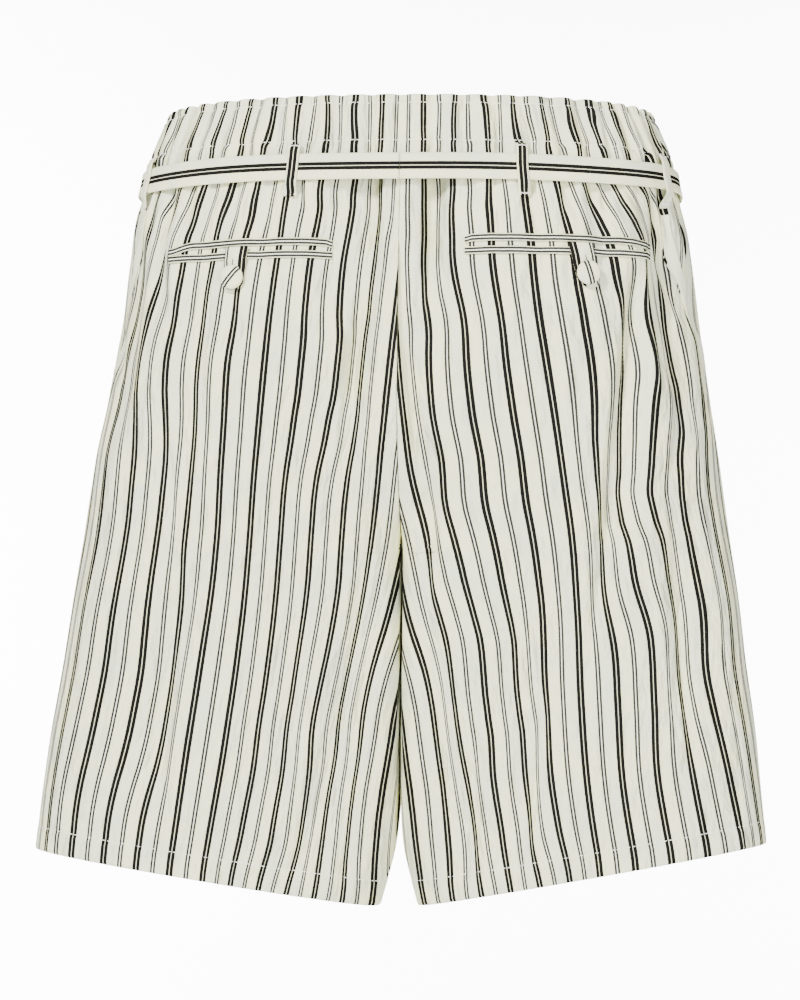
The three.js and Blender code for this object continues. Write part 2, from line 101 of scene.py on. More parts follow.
# Folds of the cloth: troughs along a line from (from, top) to (to, bottom). take is how many
# millimetres of cloth the fold hides, so that its stripes run together there.
FOLD_COLUMNS = ("side", "face", "from", "top", "to", "bottom", "width", "depth", "take")
FOLDS = [
    (-1, "back", 16, 5, 15, -92, 6, 11, 3),
    (-1, "back", 16, -84, 30, -215, 8, 8, 4),
    (-1, "back", 7, -285, 50, -480, 14, 7, 5),
    (-1, "back", 62, -300, 84, -455, 13, 4, 3),
    (-1, "back", 136, -285, 160, -440, 13, 8, 3),
    (-1, "back", 172, -60, 184, -190, 11, 7, 3),
    (1, "back", 18, 5, 20, -105, 6, 11, 3),
    (1, "back", 5, -118, 20, -280, 9, 7, 3),
    (1, "back", 10, -300, 50, -480, 14, 7, 5),
    (1, "back", 70, -312, 82, -462, 11, 4, 3),
    (1, "back", 150, -90, 145, -185, 9, 7, 5),
    (1, "back", 143, -170, 126, -335, 10, 8, 7),
    (1, "back", 178, -235, 182, -405, 11, 6, 6),
    (1, "back", 163, -42, 183, -180, 8, 12, 7),
    (1, "back", 157, -48, 171, -170, 4, 4.5, 2),
    (-1, "front", 30, -60, 44, -200, 14, 5, 3),
    (-1, "front", 10, -290, 62, -470, 15, 7, 5),
    (-1, "front", 120, -200, 136, -400, 15, 6, 4),
    (1, "front", 40, -70, 52, -190, 14, 4, 3),
    (1, "front", 12, -285, 56, -480, 15, 7, 5),
    (1, "front", 128, -180, 120, -390, 15, 5, 4),
    (-1, "back", 27, -120, 30, -175, 4, 5, 2),
    (-1, "back", 16, -250, 40, -400, 5, 3.3, 3),
    (-1, "back", 40, -395, 62, -484, 6, 3.3, 4),
    (-1, "back", 22, -385, 34, -486, 5, 3, 4),
    (-1, "back", 56, -340, 70, -440, 5, 2.1, 2),
    (-1, "back", 150, -180, 142, -300, 6, 2.4, 2),
    (-1, "back", 146, -330, 150, -455, 6, 2.7, 2),
    (-1, "back", 118, -60, 100, -140, 9, 2.4, 1),
    (-1, "back", 162, -45, 150, -120, 6, 3.3, 2),
    (-1, "back", 192, -95, 190, -150, 5, 3.6, 2),
    (1, "back", 2, -70, 2, -124, 3.5, 3.6, 2),
    (1, "back", 2, -120, 12, -195, 4, 5, 2),
    (1, "back", 18, -215, 17, -305, 4, 3, 3),
    (1, "back", 54, -325, 66, -318, 6, 1.8, 0),
    (1, "back", 76, -305, 92, -392, 5, 3, 2),
    (1, "back", 93, -372, 86, -484, 4, 3.6, 4),
    (1, "back", 48, -395, 50, -484, 4, 3, 3),
    (1, "back", 24, -330, 34, -440, 5, 3, 3),
    (1, "back", 152, -92, 139, -200, 4, 3.6, 3),
    (1, "back", 134, -222, 130, -262, 4, 3, 3),
    (1, "back", 178, -165, 175, -225, 5, 2.7, 2),
    (1, "back", 181, -300, 190, -425, 5, 3.3, 4),
    (1, "back", 170, -66, 188, -122, 5, 4.2, 3),
    (-1, "back", 20, 5, 34, -190, 17, 9, 0),
    (-1, "back", 26, 4, 28, -60, 5, 5, 1),
    (-1, "back", 4, 4, 6, -70, 4, 5, 1),
    (1, "back", 17, 5, 20, -170, 15, 8, 0),
    (1, "back", 27, 4, 25, -62, 4, 5, 1),
    (1, "back", 60, -8, 58, -52, 4, 4, 1),
    (1, "back", 104, -8, 106, -54, 4, 4, 1),
    (1, "back", 128, -8, 132, -58, 4, 4, 1),
    (-1, "back", 66, -8, 64, -50, 4, 4, 1),
    (-1, "back", 104, -8, 108, -54, 4, 4, 1),
    (-1, "back", 132, -8, 138, -58, 4, 4, 1),
    (-1, "back", 126, -60, 132, -240, 9, 2, 5),
    (-1, "front", 14, -40, 22, -120, 7, 3.9, 2),
    (-1, "front", 80, -44, 92, -170, 9, 3.3, 1),
    (-1, "front", 30, -330, 52, -480, 6, 3.3, 3),
    (-1, "front", 150, -120, 142, -260, 8, 3.3, 2),
    (1, "front", 16, -40, 20, -130, 7, 3.9, 2),
    (1, "front", 92, -50, 86, -180, 9, 3.3, 1),
    (1, "front", 28, -320, 60, -478, 6, 3.3, 3),
    (1, "front", 150, -140, 156, -290, 8, 3.3, 2),
]

STEEP = {"inner": 0.65, "outer": 1.35}  # shares of a fold's width to its two sides

# Soft ridges that bow the cloth between the folds, in the same columns but outwards
RIDGES = [
    (-1, "back", 95, -120, 108, -330, 26, 2.2),
    (-1, "back", 34, -100, 42, -230, 10, 1.6),
    (-1, "back", 110, -360, 120, -470, 22, 2),
    (1, "back", 92, -110, 104, -300, 28, 2.2),
    (1, "back", 164, -100, 160, -240, 8, 2.4),
    (1, "back", 112, -350, 122, -470, 20, 2),
    (-1, "front", 84, -200, 96, -400, 28, 2),
    (1, "front", 84, -200, 92, -400, 28, 2),
]

# Gathers under the elastic: count waves round one half, so deep, fading in so many mm
BAND_GATHERS = {"count": 26, "depth": 3.2, "fade": 400}
PANEL_GATHERS = [
    {"count": 13, "depth": 4.6, "fade": 70},
    {"count": 26, "depth": 3.4, "fade": 26},
]

# The stripes. A period holds a heavy pair of bars and, half way to the next, a thin pair.
PERIOD = 24.5
HEAVY = {"bar": 2.35, "space": 0.42}
THIN = {"bar": 1.45, "space": 0.65}

# Where the stripes run: at each level the distance of one heavy pair from the centre seam, how
# many periods lie between it and the line where the halves meet, and how many between it and
# the side seam.
GRAIN_COLUMNS = ("level", "line_left", "line_right", "in_left", "in_right", "out_left", "out_right")
GRAIN = np.array([
    (20, 64.5, 70, 3.65, 3.75, 6.8, 6.6),
    (-12, 68, 75, 3.7, 3.7, 6.1, 6),
    (-34, 70, 78, 3.7, 3.7, 5.6, 4.9),
    (-57, 74, 82, 3.75, 3.7, 5.1, 4.15),
    (-106, 81, 87, 4, 3.85, 5.7, 4.95),
    (-170, 87, 99, 4.3, 4.15, 5.8, 5.05),
    (-220, 92, 106, 4.65, 4.35, 5.6, 5.3),
    (-264, 95, 112, 4.95, 4.8, 5.6, 5.05),
    (-300, 98, 114, 5.3, 5.15, 5.5, 4.95),
    (-327, 101, 116, 5.65, 5.55, 5.4, 4.9),
    (-355, 104, 117, 6.05, 5.95, 5.4, 5.1),
    (-410, 111, 121, 6.4, 6.3, 5.3, 5),
    (-450, 117, 126, 6.6, 6.5, 5.2, 4.8),
    (-494, 124, 133, 6.2, 6.3, 5.3, 4.6),
])
GRAIN_SOFT = (-16, -8, 0, 8, 16)  # each row is averaged with its neighbours at these levels
PULL = {"periods": 0.09, "fade": 40, "jump": 1.1}  # how far the gathers pull the stripes aside
FRONT = {"first": 0.3, "gathered": 0.1, "loose": -130}
SLACK = 0.3  # share by which a steep fold squeezes the stripes
TURNED_SEEN = {"back": 0.45, "front": 0.08}  # how far a leg turns before stripes count its depth

# Stitches, in millimetres
STITCH = {"length": 2.3, "gap": 1.1, "thick": 0.42}
BAND_STITCHES = (14.5, -9.5)
HEM_STITCHES = HEM_LEVEL + HEM["height"]
TACK = {"in": 1.8, "rows": 3, "apart": 0.55}
BUTTONHOLE = {"rise": 3.2, "length": 4.4, "thick": 0.55}


def mix(a, b, share):
    return a + (b - a) * share


def ease(start, end, x):
    share = np.clip((x - start) / (end - start), 0, 1)
    return share * share * (3 - 2 * share)


# The form that the cloth hangs on, as in the part's source


def section_at(level):
    """The values of the section at each level, on a smooth curve through the rows."""
    level = np.asarray(level, float)
    last = len(LEVELS) - 1
    i = np.zeros(level.shape, int)
    for k in range(1, last):
        i += level < LEVELS[k]
    before = np.maximum(i - 1, 0)
    after = np.minimum(i + 2, last)
    step = LEVELS[i + 1] - LEVELS[i]
    s = (level - LEVELS[i]) / step
    found = {}
    for column, key in enumerate(SECTION_COLUMNS):
        row = SECTIONS[:, column]
        a, b = row[i], row[i + 1]
        start = (b - row[before]) / (LEVELS[i + 1] - LEVELS[before]) * step
        end = (row[after] - a) / (LEVELS[after] - LEVELS[i]) * step
        curve = (
            (2 * s**3 - 3 * s**2 + 1) * a
            + (s**3 - 2 * s**2 + s) * start
            + (3 * s**2 - 2 * s**3) * b
            + (s**3 - s**2) * end
        )
        found[key] = np.where(a == b, a, curve)
    found["leg"] = ease(SEAT["top"], SEAT["crotch"], level)
    down = np.clip((CROTCH_TOP - level) / (CROTCH_TOP - SEAT["crotch"]), 0, 1)
    found["closing"] = 1 - (1 - down) ** 2
    return found


def form(side, t, level):
    t, level = np.broadcast_arrays(np.asarray(t, float), np.asarray(level, float))
    s = section_at(level)
    across = np.abs(np.sin(math.pi * t))
    along = np.abs(np.cos(math.pi * t))
    scale = (across**ROUND + along**ROUND) ** (-1 / ROUND)
    out = np.minimum(across * scale, 1)
    inside = out < 0.5
    end = np.where(inside, (1 - 2 * out) * s["closing"], 2 * out - 1)
    power = np.where(inside, s["round"], ROUND)
    leg_deep = LEG_DEPTH * (1 - np.clip(end, 0, 1) ** power) ** (1 / power)
    deep = mix(along * scale, leg_deep, s["leg"])
    behind = np.clip((0.5 - t) / SEAM, -1, 1)
    x = mix(s["inner"], s["width"], out)
    y = -np.sign(behind) * np.where(t < 0.5, s["back"], s["front"]) * deep - GAP * behind
    tilt = WAIST_TILT["slope"] * ease(WAIST_TILT["fades"], BAND["top"], level)
    rise = s["slant"] * x - tilt * y - SIDE_DROP * s["lean"] * side * x
    return np.stack([side * x + s["lean"], y, level + rise], -1)


def normal(side, t, level):
    t, level = np.broadcast_arrays(np.asarray(t, float), np.asarray(level, float))
    before = np.maximum(t - STEP, 0)
    after = np.minimum(t + STEP, 1)
    round_it = form(side, after, level) - form(side, before, level)
    up = form(side, t, level + 1) - form(side, t, level - 1)
    found = np.cross(round_it, up) * side
    return found / np.linalg.norm(found, axis=-1, keepdims=True)


def place_at(face, distance, level):
    """The t at which the form is so far from the centre, seen from behind or from in front."""
    distance, level = np.broadcast_arrays(np.asarray(distance, float), np.asarray(level, float))
    start, end = (0, 0.5) if face == "back" else (1, 0.5)
    low = np.zeros(distance.shape)
    high = np.ones(distance.shape)
    lean = section_at(level)["lean"]
    for _ in range(24):
        middle = (low + high) / 2
        near = form(1, mix(start, end, middle), level)[..., 0] - lean < distance
        low = np.where(near, middle, low)
        high = np.where(near, high, middle)
    return mix(start, end, (low + high) / 2)


def fold_share(fold, level):
    share = (fold[3] - level) / (fold[3] - fold[5])
    line = mix(fold[2], fold[4], share)
    along = ease(-0.15, 0.3, share) * ease(1.15, 0.7, share)
    return line, along


def line_depth(table, side, face, out, level):
    """How deep the lines of a table of folds or ridges are at a place."""
    total = np.zeros(np.broadcast(out, level).shape)
    for line_row in table:
        if line_row[0] != side or line_row[1] != face:
            continue
        line, along = fold_share(line_row, level)
        width = line_row[6] * np.where(out < line, STEEP["inner"], STEEP["outer"])
        total = total + line_row[7] * along * np.exp(-(((out - line) / width) ** 2))
    return total


def gather_depth(gathers, side, t, level, below):
    uneven = 0.35 * np.sin(2 * math.pi * t * 3 + side) + 0.2 * np.sin(2 * math.pi * t * 7)
    shift = np.sin(math.pi * t) * (uneven + 0.5 * np.sin(level / 8 + 31 * t + side))
    wave = (0.5 + 0.5 * np.cos(2 * math.pi * gathers["count"] * t + shift)) ** 2
    strength = 1 + 0.45 * np.sin(math.pi * t) * np.sin(2 * math.pi * t * 8.3 + 2 * side)
    return gathers["depth"] * strength * wave * np.exp(-np.maximum(below, 0) / gathers["fade"])


def stitch_dent(level, line, depth, width=1.1):
    return depth * np.exp(-(((level - line) / width) ** 2))


def cloth(side, t, level, off=0.0):
    """A point of the cloth, off outside its outer face."""
    t, level = np.broadcast_arrays(np.asarray(t, float), np.asarray(level, float))
    s = section_at(level)
    point = form(side, t, level)
    out = np.abs(point[..., 0] - s["lean"])
    calm = mix(1, ease(0, 0.03, t) * ease(1, 0.97, t), s["closing"])
    sunk = np.zeros(t.shape)
    for face in ("back", "front"):
        here = ease(0.53, 0.47, t) if face == "back" else ease(0.47, 0.53, t)
        depth = line_depth(FOLDS, side, face, out, level)
        ridge = line_depth(RIDGES, side, face, out, level)
        sunk = sunk + here * (depth - ridge)
    pressed = 1 - 0.65 * np.exp(-(((level - BELT["level"]) / 9) ** 2))
    for gathers in PANEL_GATHERS:
        below = BAND["bottom"] - level
        sunk = sunk + pressed * gather_depth(gathers, side, t, level, below)
    sunk = sunk + stitch_dent(level, HEM_STITCHES, 0.35)
    band = gather_depth(BAND_GATHERS, side, t, level, 0)
    for line in BAND_STITCHES:
        band = band + stitch_dent(level, line, 0.7)
    sunk = np.where(level > BAND["bottom"], band, sunk)
    return point + normal(side, t, level) * np.asarray(off - sunk * calm)[..., None]


def crest(side, t, level, off):
    """A point so far outside the crests of the gathers."""
    return form(side, t, level) + normal(side, t, level) * np.asarray(off)[..., None]


# Meshes


def even_rows(top, bottom, count):
    return np.linspace(top, bottom, count)


def make_object(name, points, faces, coordinates, material, smooth=True):
    """A mesh from points in millimetres, with the cloth coordinates (stripe, along) per point."""
    mesh = bpy.data.meshes.new(name)
    mesh.from_pydata((points * MM).tolist(), [], faces)
    layer = mesh.uv_layers.new(name="cloth")
    corner = np.zeros(len(mesh.loops), int)
    mesh.loops.foreach_get("vertex_index", corner)
    layer.data.foreach_set("uv", coordinates[corner].astype(np.float32).ravel())
    mesh.polygons.foreach_set("use_smooth", [smooth] * len(mesh.polygons))
    mesh.materials.append(material)
    mesh.update()
    made = bpy.data.objects.new(name, mesh)
    bpy.context.scene.collection.objects.link(made)
    return made


def shell(name, outer, inner, coordinates, material, flip):
    """A closed wall between an outer and an inner grid of points, rows by columns."""
    rows, columns = outer.shape[:2]
    count = rows * columns
    index = np.arange(count).reshape(rows, columns)
    a, b = index[:-1, :-1], index[:-1, 1:]
    c, d = index[1:, 1:], index[1:, :-1]
    front = np.stack([a, d, c, b], -1).reshape(-1, 4)
    back = np.stack([a, b, c, d], -1).reshape(-1, 4) + count
    strips = []
    for edge, turned in (
        (index[:, 0], True), (index[:, -1], False), (index[0], False), (index[-1], True),
    ):
        quad = np.stack([edge[:-1], edge[1:], edge[1:] + count, edge[:-1] + count], -1)
        strips.append(quad[:, ::-1] if turned else quad)
    faces = np.concatenate([front, back] + strips)
    if flip:
        faces = faces[:, ::-1]
    points = np.concatenate([outer.reshape(-1, 3), inner.reshape(-1, 3)])
    both = np.concatenate([coordinates.reshape(-1, 2)] * 2)
    return make_object(name, points, faces.tolist(), both, material)


def keep(piece, slot, *nodes):
    """The piece rides on the part and stands for these solids."""
    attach(piece, "root")
    if nodes:
        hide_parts(*nodes)
    return piece


# Materials

SHINE = 0.05
SHEEN = 0.02


def principled(name, roughness):
    material = bpy.data.materials.new(name)
    material.use_nodes = True
    shader = material.node_tree.nodes["Principled BSDF"]
    shader.inputs["Roughness"].default_value = roughness
    shader.inputs["Specular IOR Level"].default_value = SHINE
    shader.inputs["Sheen Weight"].default_value = SHEEN
    shader.inputs["Sheen Roughness"].default_value = 0.5
    return material, shader


class Graph:
    """Short ways to add the nodes of one material."""

    def __init__(self, material):
        self.nodes = material.node_tree.nodes
        self.links = material.node_tree.links

    def put(self, socket, value):
        if isinstance(value, bpy.types.NodeSocket):
            self.links.new(value, socket)
        else:
            socket.default_value = value

    def math(self, operation, *values):
        node = self.nodes.new("ShaderNodeMath")
        node.operation = operation
        for socket, value in zip(node.inputs, values):
            self.put(socket, value)
        return node.outputs[0]

    def ramp(self, value, low, high, start=0.0, end=1.0):
        node = self.nodes.new("ShaderNodeMapRange")
        node.interpolation_type = "SMOOTHSTEP"
        for socket, part in zip(node.inputs, (value, low, high, start, end)):
            self.put(socket, part)
        return node.outputs[0]

    def blend(self, share, a, b):
        node = self.nodes.new("ShaderNodeMix")
        node.data_type = "RGBA"
        self.put(node.inputs[0], share)
        self.put(node.inputs[6], a)
        self.put(node.inputs[7], b)
        return node.outputs[2]

    def noise(self, place, scale, detail):
        node = self.nodes.new("ShaderNodeTexNoise")
        self.put(node.inputs["Vector"], place)
        self.put(node.inputs["Scale"], scale)
        self.put(node.inputs["Detail"], detail)
        return node.outputs[0]

    def vector(self, x, y):
        node = self.nodes.new("ShaderNodeCombineXYZ")
        self.put(node.inputs[0], x)
        self.put(node.inputs[1], y)
        return node.outputs[0]


GROUND = {
    "cream": (0.85, 0.84, 0.52, 1),
    "cool": (0.72, 0.75, 0.55, 1),
    "white": (0.92, 0.93, 0.76, 1),
    "grey": (0.6, 0.61, 0.5, 1),
    "dark": (0.009, 0.009, 0.008, 1),
    "thread": (0.86, 0.85, 0.79, 1),
}
EDGE = 0.08 / PERIOD
WEAVE = {"warp": 0.62, "weft": 0.7, "height": 0.00009}
CRUMPLE = {"scale": 0.075, "along": 0.35, "height": 0.012}


def striped_cloth(name, crumple):
    """Woven cloth whose stripes follow the first cloth coordinate, in periods."""
    material, shader = principled(name, 0.86)
    g = Graph(material)
    place = g.nodes.new("ShaderNodeUVMap")
    place.uv_map = "cloth"
    parts = g.nodes.new("ShaderNodeSeparateXYZ")
    g.put(parts.inputs[0], place.outputs[0])
    stripe, along = parts.outputs[0], parts.outputs[1]
    across = g.math("MULTIPLY", stripe, PERIOD)
    flat = g.vector(across, along)

    # Uneven yarn edges
    wobble = g.noise(g.vector(g.math("MULTIPLY", across, 0.5), along), 0.7, 2)
    shift = g.math("MULTIPLY", g.math("SUBTRACT", wobble, 0.5), 0.35 / PERIOD)
    uneven = g.math("ADD", stripe, shift)

    # Distance from the nearest heavy pair, and from the nearest thin one
    heavy_far = g.math("PINGPONG", uneven, 0.5)
    thin_far = g.math("SUBTRACT", 0.5, heavy_far)
    dark = []
    for far, pair in ((heavy_far, HEAVY), (thin_far, THIN)):
        middle = (pair["space"] + pair["bar"]) / 2 / PERIOD
        half = pair["bar"] / 2 / PERIOD
        off_line = g.math("ABSOLUTE", g.math("SUBTRACT", far, middle))
        dark.append(g.ramp(off_line, half + EDGE / 2, half - EDGE / 2))
    twill = g.math("SINE", g.math("MULTIPLY", g.math("ADD", along, across), 2 * math.pi / 1.5))
    rope = g.math("MULTIPLY_ADD", twill, 0.03, 0.97)
    thin_dark = g.math("MULTIPLY", dark[1], rope)
    mask = g.math("MAXIMUM", dark[0], thin_dark)

    # Ground in two close tones, whiter between a pair of lines. The soft patches of the noise that mixes
    # the two tones are painted shade, and partly uneven dye
    dye_and_shade_cloud = g.noise(flat, 0.03, 3)
    band = g.math("SINE", g.math("MULTIPLY", stripe, 2 * math.pi))
    tone = g.math("MULTIPLY_ADD", band, 0.09, dye_and_shade_cloud)
    ground = g.blend(g.ramp(tone, 0.36, 0.64), GROUND["cream"], GROUND["cool"])
    pair_half = (THIN["space"] / 2 + THIN["bar"]) / PERIOD
    white = g.ramp(thin_far, pair_half + EDGE, pair_half)
    ground = g.blend(white, ground, GROUND["white"])
    yarn = g.noise(g.vector(g.math("MULTIPLY", across, 3), g.math("MULTIPLY", along, 0.3)), 1, 3)
    ground = g.blend(g.ramp(yarn, 0.3, 0.8, 0, 0.12), ground, GROUND["grey"])
    g.put(shader.inputs["Base Color"], g.blend(mask, ground, GROUND["dark"]))
    pale = g.math("SUBTRACT", 1, mask)
    g.put(shader.inputs["Sheen Weight"], g.math("MULTIPLY", pale, SHEEN))
    g.put(shader.inputs["Specular IOR Level"], g.math("MULTIPLY", pale, SHINE))

    # Weave and a slight crumple
    warp = g.math("SINE", g.math("MULTIPLY", across, 2 * math.pi / WEAVE["warp"]))
    weft = g.math("SINE", g.math("MULTIPLY", along, 2 * math.pi / WEAVE["weft"]))
    fine = g.nodes.new("ShaderNodeBump")
    g.put(fine.inputs["Height"], g.math("MULTIPLY", warp, weft))
    fine.inputs["Strength"].default_value = 0.25
    fine.inputs["Distance"].default_value = WEAVE["height"]
    soft = g.nodes.new("ShaderNodeBump")
    long_place = g.vector(across, g.math("MULTIPLY", along, CRUMPLE["along"]))
    g.put(soft.inputs["Height"], g.noise(long_place, CRUMPLE["scale"], 3))
    soft.inputs["Strength"].default_value = crumple
    soft.inputs["Distance"].default_value = CRUMPLE["height"]
    g.links.new(soft.outputs[0], fine.inputs["Normal"])
    g.links.new(fine.outputs[0], shader.inputs["Normal"])
    return material


def thread_material(name, colour):
    material, shader = principled(name, 0.7)
    shader.inputs["Base Color"].default_value = colour
    return material


panel_cloth = striped_cloth("panel_cloth", 0.8)
trim_cloth = striped_cloth("trim_cloth", 0.3)
pale_thread = thread_material("pale_thread", GROUND["thread"])
dark_thread = thread_material("dark_thread", (0.05, 0.05, 0.055, 1))


# Where the stripes run


def stripe_numbers(side, face, t, level, outer):
    """The stripe coordinate of each point of a grid, rows by columns from the centre outwards."""
    word = "left" if side < 0 else "right"
    at = {}
    for column, key in enumerate(GRAIN_COLUMNS):
        nearby = [np.interp(d - level[:, 0], -GRAIN[:, 0], GRAIN[:, column]) for d in GRAIN_SOFT]
        at[key] = np.mean(nearby, axis=0)
    flat = form(side, t, level)
    s = section_at(level)
    distance = np.abs(flat[..., 0] - s["lean"])
    inside = distance < s["width"] / 2
    plain = np.linalg.norm(np.diff(flat, axis=1), axis=-1)
    seen = np.abs(np.diff(distance, axis=1))

    # The inside of a leg turns away from the eye, and its stripes keep their spacing there
    reach = distance / s["width"] * 2
    end = np.clip(np.where(inside, (1 - reach) * s["closing"], reach - 1), 0, 1)
    power = np.where(inside, s["round"], ROUND)
    turned = 1 - (1 - end**power) ** (1 / power)
    away = LEG_DEPTH * s[face] * np.maximum(turned - TURNED_SEEN[face], 0) * s["leg"] / PERIOD

    # In front the stripes run straight down, closer where the elastic gathers them
    if face == "front":
        run = np.zeros(distance.shape)
        run[:, 1:] = np.cumsum(np.where(inside[:, 1:], seen, plain), axis=1)
        closer = 1 + FRONT["gathered"] * ease(FRONT["loose"], BAND["bottom"], level)
        return FRONT["first"] - run / PERIOD * closer + np.where(inside, away, 0)

    # Along each row: the distance seen in the inner half, the true length in the outer half, and
    # what the folds take up
    folded = np.linalg.norm(np.diff(outer, axis=1), axis=-1)
    slack = np.clip(folded - plain, 0, SLACK * plain)
    flatness = ease(-40, -260, level[:, 1:])
    steps = np.where(inside[:, 1:], seen, mix(plain, seen, flatness)) + slack
    hidden = np.zeros(distance.shape)
    for fold in FOLDS:
        if fold[0] != side or fold[1] != face:
            continue
        line, along = fold_share(fold, level)
        hidden += fold[8] * along * 0.5 * np.tanh((distance - line) / fold[6] * 1.2)
    length = np.zeros(distance.shape)
    length[:, 1:] = np.cumsum(steps, axis=1)
    length = length + hidden - hidden[:, :1]

    numbers = np.zeros(length.shape)
    for j in range(length.shape[0]):
        start = np.interp(at["line_" + word][j], distance[j], length[j])
        inner = (1 - length[j] / start) * at["in_" + word][j]
        beyond = -(length[j] - start) / (length[j][-1] - start) * at["out_" + word][j]
        numbers[j] = np.where(length[j] < start, inner, beyond)
    jump = ease(BAND_STITCHES[1] + 2, BAND_STITCHES[1] - 4, level)
    jump = PULL["jump"] * (jump - 0.6 * ease(BAND_STITCHES[0] - 2.5, BAND_STITCHES[0] + 2, level))
    swing = 2 * math.pi * 19 * t + np.sin(level / 11 + 23 * t) + side + jump
    ripple = (0.35 + 0.65 * np.sin(math.pi * t)) * ease(0, 0.04, t) * np.sin(swing)
    pulled = PULL["periods"] * np.exp(-np.maximum(BAND["bottom"] - level, 0) / PULL["fade"])
    return numbers + np.where(inside, away, -away) + pulled * ripple


# Panels

PANEL_GRID = {"back": (236, 200), "front": (150, 170)}
CROTCH_STEPS = (0.985, 0.99, 0.994, 0.997, 0.999)


def panel_levels(count):
    top = BAND["bottom"] - AIR
    rows = list(even_rows(top, SEAT["crotch"], count // 2))
    rows += [CROTCH_TOP - share * (CROTCH_TOP - SEAT["crotch"]) for share in CROTCH_STEPS]
    rows += list(even_rows(SEAT["crotch"], HEM_LEVEL, count // 2)[1:])
    rows += [HEM_LEVEL + 0.9, HEM_LEVEL + 0.3]
    return np.array(sorted(set(rows), reverse=True))


def even_places(side, face, levels, count):
    """t on a grid whose columns are evenly far apart along each row."""
    fine = np.linspace(0, 1, 900) ** 2.2
    seam = section_at(levels)["seam"][:, None]
    t = fine * (seam - SEAM) if face == "back" else 1 - fine * (1 - seam - SEAM)
    points = form(side, t, levels[:, None])
    length = np.zeros(t.shape)
    length[:, 1:] = np.cumsum(np.linalg.norm(np.diff(points, axis=1), axis=-1), axis=1)
    wanted = np.linspace(0, 1, count)
    rows = [np.interp(wanted * run[-1], run, row) for run, row in zip(length, t)]
    return np.array(rows)


def add_panel(side, face, word):
    columns, row_count = PANEL_GRID[face]
    levels = panel_levels(row_count)
    t = even_places(side, face, levels, columns)
    level = np.repeat(levels[:, None], columns, axis=1)
    hem_turn = ease(HEM_STITCHES + 1.2, HEM_STITCHES - 1.2, level)
    thick = mix(CLOTH, HEM["wall"], hem_turn)
    rounding = 0.5 * ease(HEM_LEVEL + 1.4, HEM_LEVEL, level)
    lift = 0.25 * hem_turn
    outer = cloth(side, t, level, lift - rounding)
    inner = cloth(side, t, level, rounding - thick)
    coordinates = np.stack([stripe_numbers(side, face, t, level, outer), level], -1)
    name = face + "_" + word
    flip = (side > 0) == (face == "front")
    piece = shell("cloth_" + name, outer, inner, coordinates, panel_cloth, flip)
    keep(piece, "shorts_cloth", name)
    return piece


# Waistband


def add_waistband(face):
    levels = np.array([20, 19.7, 19.2, 18.5] + list(even_rows(17.5, BAND["bottom"], 34)))
    halves = []
    for side in (-1, 1):
        seam = section_at(levels)["seam"][:, None]
        share = np.linspace(0, 1, 260)[None, :]
        t = share * (seam - SEAM) if face == "back" else 1 - share * (1 - seam - SEAM)
        level = np.repeat(levels[:, None], 260, axis=1)
        rounding = 1.2 * (1 - np.sqrt(1 - np.clip((level - 18.4) / 1.6, 0, 1) ** 2))
        outer = cloth(side, t, level, -rounding)
        inner = cloth(side, t, level, rounding - BAND["wall"])
        t = np.broadcast_to(t, level.shape)
        numbers = stripe_numbers(side, face, t, level, outer)
        halves.append((outer, inner, np.stack([numbers, level], -1)))
    left, right = halves
    joined = [np.concatenate([a[:, ::-1], b[:, 1:]], axis=1) for a, b in zip(left, right)]
    name = "waistband_" + face
    piece = shell("cloth_" + name, *joined, panel_cloth, face == "front")
    return keep(piece, "shorts_cloth", name)


# Belt, loops and pocket pieces, which are strips whose stripes run along them

tacks = []  # the bar tacks of the loops: two ends and the direction outwards
buttonholes = []  # the ends of the buttonholes above the buttons, in the same way


def strip(name, slot, nodes, point, across, along, offset, centre, flip, thick, spread=1):
    """A strip with soft edges. point(u, v, off) places it, across and along are u and v.

    centre is the stripe coordinate of its middle line, and a spread of 0 keeps it free of stripes.
    """
    u, v = np.meshgrid(across, along)
    low, high = across[0], across[-1]
    edge = np.minimum(u - low, high - u) / (high - low)
    round_it = (1 - ease(0, 0.07, edge)) * thick * 0.38
    outer = point(u, v, offset + thick - round_it)
    inner = point(u, v, offset + round_it)
    steps = np.linalg.norm(np.diff(outer, axis=1), axis=-1)
    width = np.zeros(u.shape)
    width[:, 1:] = np.cumsum(steps, axis=1)
    width = width - width[:, -1:] / 2
    run = np.zeros(u.shape)
    run[1:] = np.cumsum(np.linalg.norm(np.diff(outer, axis=0), axis=-1), axis=0)
    coordinates = np.stack([centre + spread * width / PERIOD, run], -1)
    piece = shell(name, outer, inner, coordinates, trim_cloth, flip)
    return keep(piece, slot, *nodes)


def add_belt(side, word):
    def point(u, t, off):
        sag = 0.5 * np.sin(17 * t + side) * np.sin(math.pi * t)
        return crest(side, t, BELT["level"] + sag + u * BELT["width"], off)

    across = np.array([-0.5, -0.485, -0.45, -0.4, -0.25, 0, 0.25, 0.4, 0.45, 0.485, 0.5])
    return strip("cloth_belt_" + word, "belt_cloth", ["belt_" + word], point, across,
                 np.linspace(0, 1, 300), BELT["clear"], 0, side > 0, BELT["wall"])


